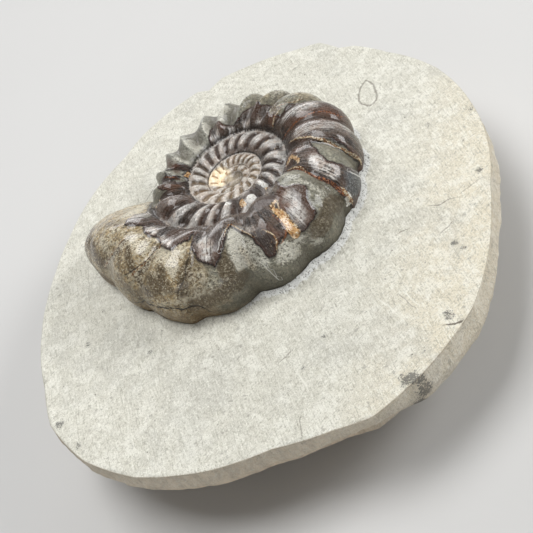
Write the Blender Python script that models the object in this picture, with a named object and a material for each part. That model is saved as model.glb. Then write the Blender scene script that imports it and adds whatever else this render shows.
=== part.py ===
"""A coiled ammonite fossil standing half free of the slab of rock it was found in.

All lengths are in metres, +Z is up, and the slab rests on z = 0.
"""
import math

import bmesh
import bpy
import numpy as np
from mathutils import Vector

for old in list(bpy.data.objects):
    bpy.data.objects.remove(old, do_unlink=True)

# the ammonite
COIL_RADIUS = 0.0210        # radius of the tube's centreline at the mouth, before the last-whorl flare
GROWTH = 0.0924             # natural-log growth of the tube per radian of coil
LAST_FLARE = 0.0197         # extra growth per radian over the last whorl
HALF_WIDTH = 0.381          # half-width of the tube's section, as a share of its centreline radius
HALF_HEIGHT = 0.374         # half-height of the section, as the same share
MOUTH_ANGLE = math.radians(-195.6)   # direction of the mouth, seen from above
MOUTH_REACH = 14.0          # degrees the worn mouth reaches past that direction
WHORLS = 3.3                # turns of the coil that are modelled
RIB_DEPTH = 0.075           # groove depth between ribs, as a share of the centreline radius

# the slab
SLAB_TOP = 0.0160           # height of the rock's upper face
SUNK = 0.0035               # how far the coil's middle plane stands above that face
GAP = 0.0003                # clearance round the fossil in its pocket
WALL = 0.0063               # height of the near-upright edge of the slab
BULGE = 0.0009              # how far the edge swells out below the upper face
BEVEL = 0.0006              # broken arris along the upper edge
BASE_SHARE = 0.64           # size of the flat the slab rests on, as a share of its outline
UMBILICUS = (0.0029, 0.0097)   # centre of the coil, measured from the middle of the slab

# outline of the slab's upper face: degrees, radius in mm about its middle
SLAB_OUTLINE = ((-174, 43.5), (-164, 46.0), (-150, 47.0), (-137, 46.7), (-122, 45.2), (-109, 43.8),
                (-97, 44.9), (-90, 46.3), (-78, 45.7), (-63, 45.0), (-52, 43.4), (-41, 42.1),
                (-32, 41.6), (-18, 42.6), (-4, 43.7), (12, 45.3), (28, 45.9), (38, 47.2),
                (42, 46.8), (48, 49.1), (54, 48.3), (67, 47.6), (74, 47.3), (78, 45.2),
                (81, 46.7), (93, 45.3), (99, 44.5), (107, 42.5), (118, 42.1), (136, 40.7),
                (148, 40.4), (156, 40.7), (169, 41.6))

# how far the foot of the slab's edge is broken back: degrees, mm
EDGE_CUT = ((-180, 0.4), (-150, 0.6), (-125, 0.9), (-106, 1.2), (-98, 2.2), (-91, 3.2),
            (-86, 2.4), (-80, 0.3), (-60, 0.0), (60, 0.3), (180, 0.4))

# worn outer edge of the body chamber: degrees back from the mouth, share of the full radius
EDGE_WEAR = ((-20, 0.930), (-3, 0.945), (6, 0.934), (14, 0.919), (30, 0.917), (38, 0.930),
             (50, 0.975), (58, 0.985), (65, 1.030), (74, 1.0), (90, 0.987), (112, 1.035),
             (130, 1.030), (142, 1.0), (200, 0.990), (250, 0.978), (343, 0.962), (420, 0.985),
             (500, 1.0))
# strength of the ribs along the coil: they flatten out over the body chamber
RIB_STRENGTH = ((0, 0.20), (60, 0.30), (130, 0.55), (172, 1.0))
# rib crests counted back from the mouth, in degrees; they crowd towards the middle of the coil
RIB_CRESTS = (20, 42, 63, 85, 106, 128, 150, 171, 192, 213, 231, 247, 265, 281, 302, 319, 337, 353,
              373, 397, 417, 430, 443, 465, 486, 498, 511, 529, 554, 576, 600, 616, 634, 649, 668,
              685, 698, 723, 746, 772, 796, 817, 835, 851, 870, 889, 916, 932, 949, 965, 982, 1001,
              1019, 1037, 1062, 1088, 1124, 1148, 1180, 1216, 1256, 1300, 1350, 1404)

MOUTH_ROWS = (-14.0, -13.4, -12.4, -11.1, -9.4, -7.4, -5.2, -2.7)
ROWS_PER_TURN = 95
ACROSS = 8                  # faces across the tube, seam to edge
TURN = 2 * math.pi


def along(table, degrees):
    """Value read off a short table of (degrees, value) pairs."""
    return float(np.interp(degrees, [p[0] for p in table], [p[1] for p in table]))


def centre_radius(t):
    """Radius of the tube's centreline, t radians back from the mouth."""
    return COIL_RADIUS * math.exp(-GROWTH * t + LAST_FLARE * max(TURN - t, 0.0))


def outer_edge(t):
    """Radius of the tube's outermost line, without the ribs."""
    return centre_radius(t) * (1 + HALF_WIDTH) * along(EDGE_WEAR, math.degrees(t))


def section(t):
    """Centre, half-width and half-height of the tube's section at t."""
    radius = centre_radius(t)
    inner = radius * (1 - HALF_WIDTH)
    outer = outer_edge(t)
    height = radius * HALF_HEIGHT
    d = math.degrees(t)
    if d < 14:
        v = min((14 - d) / (14 + MOUTH_REACH), 1.0)
        edge = outer_edge(t + TURN)
        outer = edge + (outer - edge) * (1 - v ** 2.5) ** 0.4
        inner = inner + (edge - inner) * v ** 3
    if d < 32:
        v = min((32 - d) / (32 + MOUTH_REACH), 1.0)
        height *= (1 - v ** 1.3) ** (1 / 1.3)
    return (inner + outer) / 2, (outer - inner) / 2, height


def rib(t, lean):
    """0 on a crest, 1 in a groove: rounded crests and narrow grooves."""
    number = float(np.interp(math.degrees(t) + lean, RIB_CRESTS, range(len(RIB_CRESTS))))
    return 1 - math.sqrt(math.cos(math.pi * number) ** 2 + 0.02) / math.sqrt(1.02)


def surface(t, psi, fade):
    """Radius and height on the tube; psi is 0 at the outer edge, pi at the inner one."""
    middle, half, height = section(t)
    depth = RIB_DEPTH * centre_radius(t) * along(RIB_STRENGTH, math.degrees(t)) * fade
    cut = depth * rib(t, 5.0 * math.cos(psi))
    return middle + (half - cut) * math.cos(psi), max(height - cut, height * 0.5) * math.sin(psi)


def older_whorl_height(r, t):
    """Height of the next whorl in, at radius r."""
    middle, half, height = section(t + TURN)
    x = min(max((r - middle) / half, -1.0), 1.0)
    return height * math.sqrt(1 - x * x)


def seam_angle(t):
    """Where the tube's inner wall meets the whorl inside it."""
    low, high = math.pi / 2, math.pi
    for _ in range(40):
        psi = (low + high) / 2
        r, z = surface(t, psi, 0.0)
        if z > older_whorl_height(r, t):
            low = psi
        else:
            high = psi
    return low


def angle_at(t, r):
    """Section angle of the point at radius r on the outer half of the tube."""
    middle, half, _ = section(t)
    return math.acos(min(max((r - middle) / half, -1.0), 1.0))


def place(t, r, z):
    a = MOUTH_ANGLE + t
    return Vector((r * math.cos(a), r * math.sin(a), z))


def turn_rows():
    """Angles back from the mouth for one turn of rows."""
    rows = [math.radians(d) for d in MOUTH_ROWS]
    step = (360 - MOUTH_REACH) / ROWS_PER_TURN
    rows += [math.radians(step * n) for n in range(ROWS_PER_TURN)]
    return rows


def row_angle(rows, i):
    return rows[i % len(rows)] + TURN * (i // len(rows))


def seam_point(rows, i):
    t = row_angle(rows, i)
    if i == 0:
        return outer_edge(t + TURN), 0.0
    return surface(t, seam_angle(t), 0.0)


def build_top(rows, points, faces):
    """The ribbed upper surface: a ribbon wound from the mouth to the middle of the coil."""
    n = len(rows)
    last = int(n * WHORLS)
    index = {}

    def add(t, r, z):
        points.append(place(t, r, z))
        return len(points) - 1

    for i in range(last + 1):
        t = row_angle(rows, i)
        r, z = seam_point(rows, i)
        index[i, 0] = add(t, r, z)
    for i in range(last + 1):
        t = row_angle(rows, i)
        if i == 0:
            for j in range(ACROSS + 1):
                index[0, j] = index[0, 0]
            continue
        start = seam_angle(t)
        end = 0.0
        if i >= n:
            index[i, ACROSS] = index[i - n, 0]
            end = angle_at(t, seam_point(rows, i - n)[0])
        for j in range(1, ACROSS + (1 if i < n else 0)):
            share = j / ACROSS
            fade = min(1.0, share / 0.2)
            if i >= n:
                fade = min(fade, (1 - share) / 0.14)
            r, z = surface(t, start + (end - start) * share, min(fade, 1.0))
            index[i, j] = add(t, r, z)
    for i in range(last):
        for j in range(ACROSS):
            ring = [index[i, j], index[i + 1, j], index[i + 1, j + 1], index[i, j + 1]]
            ring = [v for k, v in enumerate(ring) if v not in ring[:k]]
            if len(ring) > 2:
                faces.append(ring)
    # the first tiny whorls are closed with a small dome
    rim = [index[i, 0] for i in range(last - n, last + 1)]
    rim += [index[last, j] for j in range(1, ACROSS)]
    middle = sum((points[v] for v in rim), Vector()) / len(rim)
    middle.z = max(points[v].z for v in rim) + 0.0003
    points.append(middle)
    for k, v in enumerate(rim):
        faces.append([v, len(points) - 1, rim[(k + 1) % len(rim)]])
    return [index[i, ACROSS] for i in range(n)]


def under_height(t):
    """Half-height of the buried side; it runs on smoothly under the mouth."""
    d = math.degrees(t)
    own = HALF_HEIGHT * centre_radius(t)
    if d > 290:
        return own + (0.0072 - own) * (d - 290) / 56
    if d < 20:
        return 0.0072 + (HALF_HEIGHT * centre_radius(math.radians(20)) - 0.0072) * (d + 14) / 34
    return own


def under_rings(rows, rim):
    """Rings of points round the buried side, from the level of the rock downwards."""
    rings = [[], [], [], [], [], []]
    n = len(rows)
    radii = [math.hypot(edge.x, edge.y) for edge in rim]
    calm = [sum(radii[(i + k) % n] for k in range(-4, 5)) / 9 for i in range(n)]
    for i, t in enumerate(rows):
        high = under_height(t)
        level = math.asin(min(SUNK / high, 1.0))
        turns = (level * 0.5, level, level + 0.30, (level + math.pi) / 2.6)
        for k, psi in enumerate(turns):
            radius = radii[i] + (calm[i] - radii[i]) * (0.0, 0.0, 0.5, 1.0)[k]
            reach = radius * HALF_WIDTH / (1 + HALF_WIDTH)
            rings[k].append(place(t, radius - reach + reach * math.cos(psi), -high * math.sin(psi)))
        rings[4].append(place(t, calm[i] * 0.52, -high * 0.86))
        rings[5].append(place(t, calm[i] * 0.26, -0.0060 - 0.1 * high))
    return rings


def ring_normals(upper, ring, lower):
    """Outward directions along a ring of the buried side."""
    n = len(ring)
    found = []
    for i in range(n):
        round_way = ring[(i + 1) % n] - ring[i - 1]
        down = lower[i] - upper[i]
        found.append(down.cross(round_way).normalized())
    return found


def bridge(faces, upper, lower):
    n = len(upper)
    for i in range(n):
        faces.append([upper[i], upper[(i + 1) % n], lower[(i + 1) % n], lower[i]])


def make_object(name, points, faces, colour, roughness, shift):
    """One closed body, facing outwards, with its own material."""
    mesh = bpy.data.meshes.new(name)
    mesh.from_pydata([tuple(p + shift) for p in points], [], faces)
    work = bmesh.new()
    work.from_mesh(mesh)
    bmesh.ops.triangulate(work, faces=work.faces[:], quad_method="FIXED", ngon_method="BEAUTY")
    bmesh.ops.recalc_face_normals(work, faces=work.faces[:])
    work.to_mesh(mesh)
    work.free()
    material = bpy.data.materials.new(name + "_stone")
    material.use_nodes = True
    shader = material.node_tree.nodes["Principled BSDF"]
    shader.inputs["Base Color"].default_value = colour
    shader.inputs["Roughness"].default_value = roughness
    mesh.materials.append(material)
    body = bpy.data.objects.new(name, mesh)
    bpy.context.scene.collection.objects.link(body)
    for face in mesh.polygons:
        face.use_smooth = True
    return body


def append_ring(points, ring):
    start = len(points)
    points.extend(ring)
    return list(range(start, len(points)))


def build_ammonite(rows, shift):
    points = []
    faces = []
    rim_index = build_top(rows, points, faces)
    rim = [points[v] for v in rim_index]
    rings = under_rings(rows, rim)
    above = rim_index
    for ring in rings:
        below = append_ring(points, ring)
        bridge(faces, above, below)
        above = below
    points.append(Vector((0.0, 0.0, -0.0062)))
    foot = len(points) - 1
    n = len(above)
    for i in range(n):
        faces.append([above[i], above[(i + 1) % n], foot])
    make_object("ammonite", points, faces, (0.16, 0.13, 0.09, 1.0), 0.42, shift)
    return rim, rings


def slab_edge():
    """Outline of the upper face about the coil's centre: sorted (angle, radius) pairs."""
    found = []
    for degrees, radius in SLAB_OUTLINE:
        a = math.radians(degrees)
        x = radius * 0.001 * math.cos(a) - UMBILICUS[0]
        y = radius * 0.001 * math.sin(a) - UMBILICUS[1]
        found.append((math.atan2(y, x), math.hypot(x, y)))
    found.sort()
    return [(found[-1][0] - TURN, found[-1][1])] + found + [(found[0][0] + TURN, found[0][1])]


def build_matrix(rows, rim, rings, shift):
    """The slab: one skin from the pocket's floor, over the top, down the wall to the flat base."""
    edge = slab_edge()
    pocket = []
    for k in (1, 2, 3, 4, 5):
        upper = rings[k - 1]
        lower = rings[k + 1] if k < 5 else [Vector((0.0, 0.0, p.z)) for p in rings[5]]
        normals = ring_normals(upper, rings[k], lower)
        moved = []
        for p, out in zip(rings[k], normals):
            if k == 1:
                flat = Vector((out.x, out.y, 0.0))
                moved.append(p + flat * GAP * 1.15 / max(flat.length_squared, 0.3))
            else:
                moved.append(p + out * GAP * 1.1)
        pocket.append(moved)
    mouth = pocket[0]
    spread = [[], [], [], [], [], [], [], [], []]
    for t, p in zip(rows, mouth):
        a = math.atan2(math.sin(MOUTH_ANGLE + t), math.cos(MOUTH_ANGLE + t))
        radius = float(np.interp(a, [e[0] for e in edge], [e[1] for e in edge]))
        way = Vector((math.cos(a), math.sin(a), 0.0))
        out = way * radius
        out.z = -SUNK
        middle = Vector((-UMBILICUS[0], -UMBILICUS[1], 0.0))
        inward = Vector((out.x, out.y, 0.0)) - middle
        inward = inward.normalized()
        for k, share in enumerate((0.30, 0.65)):
            q = p.lerp(out, share)
            q.z = -SUNK + 0.00020 * math.sin(3 * a + 2 * k) * math.sin(5 * a + 1.0 + k)
            spread[k].append(q)
        cut = along(EDGE_CUT, math.degrees(math.atan2(inward.y, inward.x))) * 0.001
        steps = ((BEVEL, 0.0), (-0.0002, BEVEL), (cut / 2 - BULGE, WALL / 2),
                 (cut + 0.0001, WALL), (cut / 2 + 0.0030, 0.0090))
        for k, (back, drop) in enumerate(steps):
            q = out - inward * back
            q.z = -SUNK - drop
            spread[2 + k].append(q)
        for k, (share, height) in enumerate(((0.80, 0.0035), (BASE_SHARE, 0.0))):
            q = middle + (Vector((out.x, out.y, 0.0)) - middle) * share
            q.z = height - SLAB_TOP - SUNK
            spread[7 + k].append(q)
    points = []
    faces = []
    floor = [Vector((0.0, 0.0, -0.0066))]
    start = append_ring(points, floor)[0]
    ring_list = pocket[::-1] + spread
    above = append_ring(points, ring_list[0])
    n = len(above)
    for i in range(n):
        faces.append([above[i], start, above[(i + 1) % n]])
    for k, ring in enumerate(ring_list[1:]):
        below = append_ring(points, ring)
        if k < len(pocket) - 1:
            bridge(faces, below, above)
        else:
            bridge(faces, above, below)
        above = below
    points.append(Vector((-UMBILICUS[0], -UMBILICUS[1], -SLAB_TOP - SUNK)))
    foot = len(points) - 1
    for i in range(n):
        faces.append([above[i], above[(i + 1) % n], foot])
    make_object("matrix", points, faces, (0.62, 0.60, 0.55, 1.0), 0.85, shift)


def main():
    rows = turn_rows()
    shift = Vector((UMBILICUS[0], UMBILICUS[1], SLAB_TOP + SUNK))
    rim, rings = build_ammonite(rows, shift)
    build_matrix(rows, rim, rings, shift)
    # the middle of the slab's footprint stands over the origin
    slab = bpy.data.objects["matrix"].data
    for axis in (0, 1):
        side = [v.co[axis] for v in slab.vertices]
        off = (min(side) + max(side)) / 2
        for body in ("ammonite", "matrix"):
            for v in bpy.data.objects[body].data.vertices:
                v.co[axis] -= off


main()
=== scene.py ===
"""A coiled ammonite fossil standing half free of the slab of rock it was found in.

The fossil is a stone mould of the shell with scraps of the dark, glossy shell still on it.
Lengths are in metres, +Z is up, and the slab rests on z = 0.
"""
import math

import bpy
import numpy as np
from mathutils import Matrix, Vector, noise


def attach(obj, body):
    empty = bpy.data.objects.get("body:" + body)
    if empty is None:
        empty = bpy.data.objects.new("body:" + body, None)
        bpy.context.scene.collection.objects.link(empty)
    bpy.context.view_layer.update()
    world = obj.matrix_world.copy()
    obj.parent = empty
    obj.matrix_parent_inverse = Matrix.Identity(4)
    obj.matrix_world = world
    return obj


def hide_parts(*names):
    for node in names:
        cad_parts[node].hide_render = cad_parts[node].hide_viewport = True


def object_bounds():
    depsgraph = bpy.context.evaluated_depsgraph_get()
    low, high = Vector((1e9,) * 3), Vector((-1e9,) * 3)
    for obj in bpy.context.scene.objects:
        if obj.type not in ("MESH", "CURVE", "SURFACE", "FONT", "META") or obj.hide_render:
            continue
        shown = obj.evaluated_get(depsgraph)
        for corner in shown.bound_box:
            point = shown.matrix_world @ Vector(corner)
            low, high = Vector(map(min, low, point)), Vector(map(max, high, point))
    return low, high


bl_info = {
    "name": "Ammonite in a slab",
    "version": (1, 0, 0),
    "blender": (4, 5, 0),
    "location": "View3D > Sidebar > Fossil",
    "description": "Builds a ribbed ammonite with scraps of glossy shell, "
                   "fixed in a pale limestone slab",
    "category": "Add Mesh",
}

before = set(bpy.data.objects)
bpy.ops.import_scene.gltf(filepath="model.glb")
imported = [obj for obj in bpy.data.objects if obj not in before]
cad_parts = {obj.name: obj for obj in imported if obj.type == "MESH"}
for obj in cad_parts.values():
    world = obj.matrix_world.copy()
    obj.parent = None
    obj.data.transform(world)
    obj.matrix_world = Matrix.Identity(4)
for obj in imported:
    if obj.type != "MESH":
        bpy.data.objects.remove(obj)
CAD_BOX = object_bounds()

TURN = 2 * math.pi
SUNK = 0.0035                           # from the slab's face up to the coil's middle plane
COIL_MIDDLE = np.array((0.0026547, 0.0094207, 0.0195))
SLAB_MIDDLE = np.array((-0.0002453, -0.0002793))
MOUTH_ANGLE = math.radians(-195.6)
# degrees: how far the worn lip reaches past the mouth, and where it starts to close and to sink
MOUTH_REACH, MOUTH_CLOSING, MOUTH_SINKING = 14.0, 14, 32
LIP_ROWS = 24
RIB_LEAN = 5.0                          # degrees that a rib leans towards the outer edge
LAST_WHORL_END = 372                    # degrees back from the mouth
BOWL_DEPTH = 0.0072                     # depth of the buried side under the mouth
BOWL_BOTTOM, POCKET_BOTTOM = -0.0062, -0.0066
RAGGED = 0.34                           # mm that the broken edges of the shell wander
CRACK_DEPTH, GILT_HEIGHT, MARK_DEPTH = 0.00018, 0.00014, 0.00010
ROUGH_SIDES = 0.00035                   # the sides lie this far in, to leave room for their lumps
SLAB_COLUMNS, FACE_ROWS = 720, 92
FOOT_DROP, TOE_HEIGHT = 0.0090, 0.0035  # foot of the edge below the face, rounding above the flat
WELD = 0.000004
SLACK = 0.00005                         # how far the visible skin keeps within the solids' box
FELT = 4                                # mm round a stroke within which its points are looked at
FAR = 1e9

# worn outer edge of the body chamber: degrees back from the mouth, share of the full radius
EDGE_WEAR = (
    (-20, 0.93), (-3, 0.945), (6, 0.934), (14, 0.919), (30, 0.917), (38, 0.93), (50, 0.975),
    (58, 0.985), (65, 1.03), (74, 1), (90, 0.987), (112, 1.035), (130, 1.03), (142, 1), (200, 0.99),
    (250, 0.978), (343, 0.962), (420, 0.985), (500, 1))
# depth of the grooves between the ribs
RIB_STRENGTH = (
    (0, 0.45), (60, 0.8), (110, 0.9), (135, 1.05), (172, 1.2), (222, 1.45), (340, 1.35), (372, 1.2))
# how narrow the rib crests are: under 1 broad and flat, over 1 a sharp ridge between hollows
RIB_RIDGE = (
    (0, 1), (130, 0.9), (150, 0.55), (205, 0.6), (226, 1.5), (350, 1.6), (380, 0.85), (1404, 0.8))
# share of each rib that comes to a keen edge
RIB_KEEN = (
    (215, 0), (240, 0.75), (345, 0.75), (362, 0))
# rib crests counted back from the mouth, in degrees; they crowd towards the middle of the coil
RIB_CRESTS = (
    20, 42, 63, 85, 106, 128, 150, 171, 192, 213, 231, 247, 265, 281, 302, 319, 337, 353, 373, 397,
    417, 430, 443, 465, 486, 498, 511, 529, 554, 576, 600, 616, 634, 649, 668, 685, 698, 723, 746, 772,
    796, 817, 835, 851, 870, 889, 916, 932, 949, 965, 982, 1001, 1019, 1037, 1062, 1088, 1124, 1148,
    1180, 1216, 1256, 1300, 1350, 1404, 1462, 1524)

# Places on the fossil are (degrees back from the mouth, hundredths of the way from the inner seam
# at 0 to the outermost line at 100 and on down to the rock at 125).
SHELL_SCRAPS = (
    ((-6, -30), (-4, 4), (0, 5), (12, 12), (20, 30), (25, 38.5), (29, 35), (32, 26), (38, 33),
     (45, 38.5), (50, 35), (54, 42), (60, 46), (63, 47.5), (65, 42), (69, 36), (70, 30), (71, 43),
     (73, 54), (76, 62), (81, 69), (84, 64), (86, 57), (89, 46), (91, 39), (95, 50), (98, 62),
     (99, 72), (100, 80), (102, 82), (104, 77), (107, 72), (110, 71), (113, 77), (116, 79), (121, 77),
     (124, 74), (125, 64), (129, 55), (128, 47), (124, 36), (127, 22), (131, 10), (134, 0), (134, -30)),
    ((142, -30), (142, 12), (141, 33), (139, 45), (137, 54), (137, 67), (138, 75), (138, 81),
     (137, 91), (138, 102), (138, 140), (189, 140), (189, 96), (193, 74), (200, 62), (205, 42),
     (207, 24), (213, 20), (219, 27), (224, 38), (229, 34), (238, 42), (243, 36), (248, 22), (256, 12),
     (261, 16), (266, 24), (271, 30), (277, 27), (281, 18), (284, 10), (286, 2), (286, -30)),
    ((322, -30), (323, 12), (326, 36), (333, 44), (339, 38), (341, 55), (350, 60), (357, 56),
     (361, 30), (361, -30)),
)
SHELL_GAPS = (
    ((146, 62), (150, 52), (155, 44), (160, 40), (160.5, 60), (159, 80), (158, 100), (156, 115),
     (153, 100), (149, 82), (147, 74)),
    ((341, -30), (340, 10), (344, 30), (346, 10), (346, -30)),
    ((329, 6), (328, 24), (331, 40), (336, 42), (341, 30), (340, 6), (334, 14)),
)
# soft patches of colour: half-width in mm, strength, points along the middle
PATCHES = {
    # pale: paler stone, partly painted light where ribs and crests face the light, most of all on the
    # last whorl from about 262 to 332 degrees
    "pale": (
        (1.9, 1.2, (91, 44), (91, 58), (90, 74)), (1.4, 0.5, (133, 20), (131, 50), (131, 75)),
        (2.2, 0.8, (38, 44), (44, 50), (47, 46)), (2, 0.7, (57, 54), (64, 56), (67, 46)),
        (1.6, 0.5, (74, 70), (76, 80), (78, 86)), (2.4, 0.9, (-8, 10), (2, 16), (12, 27)),
        (2, 0.65, (95, 52), (96, 66), (97, 80)), (1.5, 0.9, (106, 78), (108, 90)),
        (1.6, 0.8, (20, 58), (26, 66)), (2, 0.9, (56, 46), (62, 52), (65, 60)),
        (1.6, 0.7, (66, 86), (74, 84)), (1.6, 0.8, (104, 86), (112, 82)),
        (1.3, 0.8, (118, 84), (117, 94)), (1.7, 1.5, (299, 8), (298.5, 20), (300, 32)),
        (1, 0.7, (309, 22), (310, 36)), (1.3, 1.3, (268, 16), (266, 38), (262, 50)),
        (1.2, 1.3, (278, 14), (280, 24), (280, 36)), (1.2, 0.9, (318, 8), (319, 20), (322, 36)),
        (1, 0.7, (330, 16), (332, 30)), (1.6, 0.5, (224, 50), (226, 70), (224, 84))),
    # dark patches: partly stains, partly painted shade in the hollows between the ribs and low down
    # towards the rock
    "stain": (
        (2.8, 0.6, (26, 78), (36, 84), (50, 88)), (2, 0.45, (70, 74), (76, 80)),
        (2.6, 1, (2, 70), (14, 74), (23, 80)), (1.8, 0.8, (12, 46), (20, 40)),
        (1.6, 0.9, (40, 56), (44, 66)), (2, 0.8, (54, 70), (58, 78), (52, 84)),
        (2.2, 0.8, (70, 94), (80, 90), (88, 86)), (1.5, 1.5, (84, 60), (84.5, 74), (85.5, 90)),
        (1.8, 0.8, (60, 62), (62, 76)), (1.3, 0.9, (71, 56), (69, 66), (67, 80)),
        (1.5, 0.6, (36, 60), (40, 74)), (2.2, 1.2, (120, 86), (125, 84), (130, 82), (133, 90)),
        (1.9, 1.2, (-2, 80), (8, 88), (20, 98), (24, 110))),
    "blue": (
        (1.7, 1, (145, 88), (148, 98), (144, 102), (142, 92)), (1.2, 0.7, (148, 105), (149, 115))),
    "rust": (
        (1.4, 0.9, (121, 34), (118, 44), (116, 52)), (1, 0.9, (266, 16), (268, 22)),
        (1.2, 0.8, (322, 56), (326, 34), (330, 24)), (1.2, 0.8, (354, 20), (357, 34), (352, 48)),
        (1.5, 0.8, (152, 30), (147, 24), (146, 10)), (1.4, 0.7, (183, 98), (184, 110), (180, 120)),
        (1, 0.6, (186, 30), (184, 55), (182, 76)), (1.2, 0.8, (219, 42), (212, 24), (211, 12)),
        (0.8, 0.7, (104, 56), (107, 66))),
    "amber": (
        (1.15, 1, (113, 54), (112.8, 60), (112.4, 68), (112.2, 76)),
        (0.7, 0.7, (115.8, 39), (111.8, 43), (111.8, 51)), (1.4, 0.42, (49, 76), (53, 80)),
        (0.7, 0.8, (146, 14), (149, 22), (144, 34)), (0.9, 0.9, (331, 2), (336, 5)),
        (0.8, 0.9, (459, 62), (460, 78)), (0.6, 0.5, (541, 66), (542, 76)),
        (0.6, 0.6, (486, 76), (484, 84)), (0.6, 0.6, (560, 60), (563, 74)),
        (0.7, 0.8, (360, 76), (366.9, 85))),
    "chalk": (
        (0.6, 1, (138.7, 93), (137.5, 99), (137, 104)), (0.8, 1.3, (486.4, 54), (486.6, 76)),
        (0.9, 1.3, (469, 66), (468, 80)), (0.6, 0.9, (443, 40), (446, 52))),
    # sheen: painted highlights, silvery streaks where the shell catches the light
    "sheen": (
        (1.4, 1.2, (12, 8), (17, 16), (22.6, 28)), (1.2, 1.5, (38, 27), (46, 32)),
        (1.2, 1.5, (52, 34), (57, 38), (60, 42)), (1.5, 1.7, (76, 42), (79, 50), (78.5, 58)),
        (1, 0.8, (94, 44), (99, 53)), (1.5, 1.1, (121, 46), (119, 58), (117, 68)),
        (1.8, 0.7, (170, 30), (170, 52), (170, 78)), (1.4, 0.9, (196, 24), (192, 40), (190, 56)),
        (1.2, 1.5, (145, 50), (142.8, 60), (141.6, 72)),
        (1.7, 1.4, (241, 10), (242, 24), (243, 36)), (1, 1.3, (279, 6), (278, 22)),
        (1.2, 1.6, (274, 8), (273, 26)), (1, 1, (228, 10), (226, 26), (224, 34)),
        (1.1, 1.1, (256, 6), (259, 14)), (1, 0.8, (334, 30), (338, 36)),
        (1.1, 0.9, (344, 24), (347, 44), (350, 54))),
    "crust": (
        (1.1, 1, (35.5, 43), (34.8, 55), (31.3, 68), (26.9, 77)),
        (1, 1, (52.5, 42), (52.5, 52), (50.3, 62), (47, 70), (49, 78)),
        (0.8, 0.5, (70, 62), (72, 80)), (0.6, 0.5, (92, 64), (93, 82))),
    "dark": (
        (2.2, 1, (100, 60), (102, 72), (103, 82)), (2.2, 0.8, (98, 24), (106, 34), (116, 30)),
        (1.6, 0.8, (84, 44), (85, 52)), (1.8, 0.8, (176, 10), (168, 14)),
        (1.6, 0.8, (440, 20), (456, 45), (458, 60), (478, 50), (480, 80))),
}
# thin lines: width in mm, strength, points
LINES = {
    "ember": (
        (0.5, 1, (141, 10), (141, 33), (138.5, 45), (137, 54), (137.5, 67), (138, 78), (137.5, 90)),
        (0.3, 0.8, (187, 5), (186, 20), (184, 40), (183, 60), (181, 78), (184, 95), (188, 115)),
        (0.3, 0.8, (110, 52), (111, 62), (110, 70), (107, 74)),
        (0.3, 0.7, (343, 14), (342, 26), (341, 40))),
    "gilt": (
        (0.45, 1, (138.6, 86), (138.2, 95), (138.5, 104)),
        (0.32, 0.9, (141.5, 14), (141.8, 30), (139.5, 42)),
        (0.34, 0.9, (169, 16), (165, 30), (162, 43), (160, 56), (158.5, 67), (158, 78), (158.5, 92),
         (159, 104)),
        (0.3, 0.8, (116.5, 38), (115, 46), (113, 52)), (0.26, 0.9, (104, 77), (106, 68), (104, 62)),
        (0.22, 0.8, (88, 46), (89.4, 40), (91, 37), (95, 46), (98, 58)),
        (0.4, 0.9, (54, 40), (52.5, 52), (48, 64), (45, 72)),
        (0.4, 0.9, (33, 44), (31.5, 57), (29, 70), (25.5, 82)),
        (0.26, 0.7, (208, 8), (210, 18), (209, 28)), (0.22, 0.6, (213, 30), (206, 42), (204, 55))),
    "white": (
        (0.11, 0.7, (97, 83), (98, 93), (99, 104)), (0.2, 0.8, (147, 86), (150, 100), (154, 112)),
        (0.14, 0.6, (88, 43), (85.5, 50), (84, 58)), (0.22, 0.6, (160, 40), (159.5, 55), (158, 66))),
    "crack": (
        (0.26, 1, (40, 104), (46, 98), (52, 95), (59, 93), (64, 92), (68, 96), (71, 97), (73, 108)),
        (0.24, 0.7, (52.7, 42), (50.9, 54), (46.3, 66), (42, 74)),
        (0.22, 0.6, (33.5, 46), (32.5, 57), (30, 70)),
        (0.22, 0.6, (71, 42), (70, 56), (69, 70), (66, 78)),
        (0.4, 0.9, (158.3, 20), (160.5, 42), (158.8, 62), (157.5, 80), (158, 95)),
        (0.3, 0.8, (139.6, 44), (138.4, 56), (138.8, 68), (139, 80))),
}

# outline of the slab's upper face: degrees, radius in mm about its middle
SLAB_OUTLINE = (
    (-174, 43.5), (-164, 46), (-150, 47), (-137, 46.7), (-122, 45.2), (-109, 43.8), (-97, 44.9),
    (-90, 46.3), (-78, 45.7), (-63, 45), (-52, 43.4), (-41, 42.1), (-32, 41.6), (-18, 42.6),
    (-4, 43.7), (12, 45.3), (28, 45.9), (38, 47.2), (42, 46.8), (48, 49.1), (54, 48.3), (67, 47.6),
    (74, 47.3), (78, 45.2), (81, 46.7), (93, 45.3), (99, 44.5), (107, 42.5), (118, 42.1), (136, 40.7),
    (148, 40.4), (156, 40.7), (169, 41.6))
# how much the rock stands up against the fossil: degrees back from the mouth, share
LIP = (
    (-14, 0.2), (40, 0.15), (80, 0.25), (95, 0.75), (110, 1), (185, 1), (200, 0.6), (225, 0.15),
    (346, 0.2))
# how far the foot of the slab's edge is broken back: degrees, mm
EDGE_CUT = (
    (-180, 0.4), (-150, 0.6), (-125, 0.9), (-106, 1.2), (-98, 2.2), (-91, 3.2), (-86, 2.4), (-80, 0.3),
    (-60, 0), (60, 0.3), (180, 0.4))
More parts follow.
